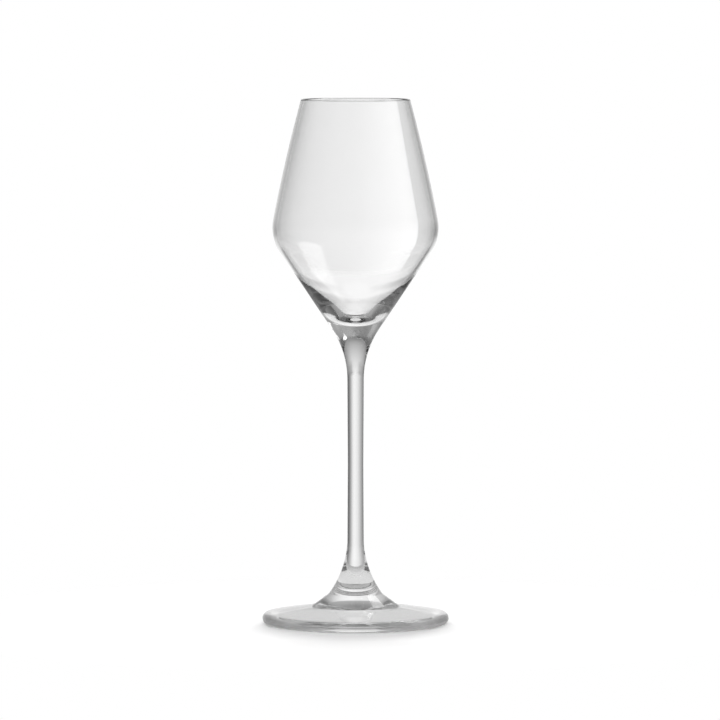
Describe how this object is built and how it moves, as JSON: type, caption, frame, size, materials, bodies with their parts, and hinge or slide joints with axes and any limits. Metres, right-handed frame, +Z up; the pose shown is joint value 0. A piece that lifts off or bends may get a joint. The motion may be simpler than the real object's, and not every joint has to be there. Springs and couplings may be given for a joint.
{
  "type": "sherry glass",
  "caption": "Clear stem glass for sherry: a thin tapered bowl with an angular belly over a steep cone, on a slim waisted stem and a sloping round foot.",
  "frame": {"origin": "centre of the foot's flat ring, on the table that the glass stands on", "axes": "+Z up along the glass's axis, from the foot to the rim; X and Y are free, because the glass is round"},
  "size_m": [0.0674, 0.0674, 0.1897],
  "materials": {
    "bowl_glass": "clear, thin blown and fire-polished",
    "stem_glass": "clear, drawn",
    "foot_glass": "clear, pressed and fire-polished"
  },
  "bodies": {
    "root": {"bowl": "bowl_glass", "stem": "stem_glass", "foot": "foot_glass"}
  },
  "joints": []
}
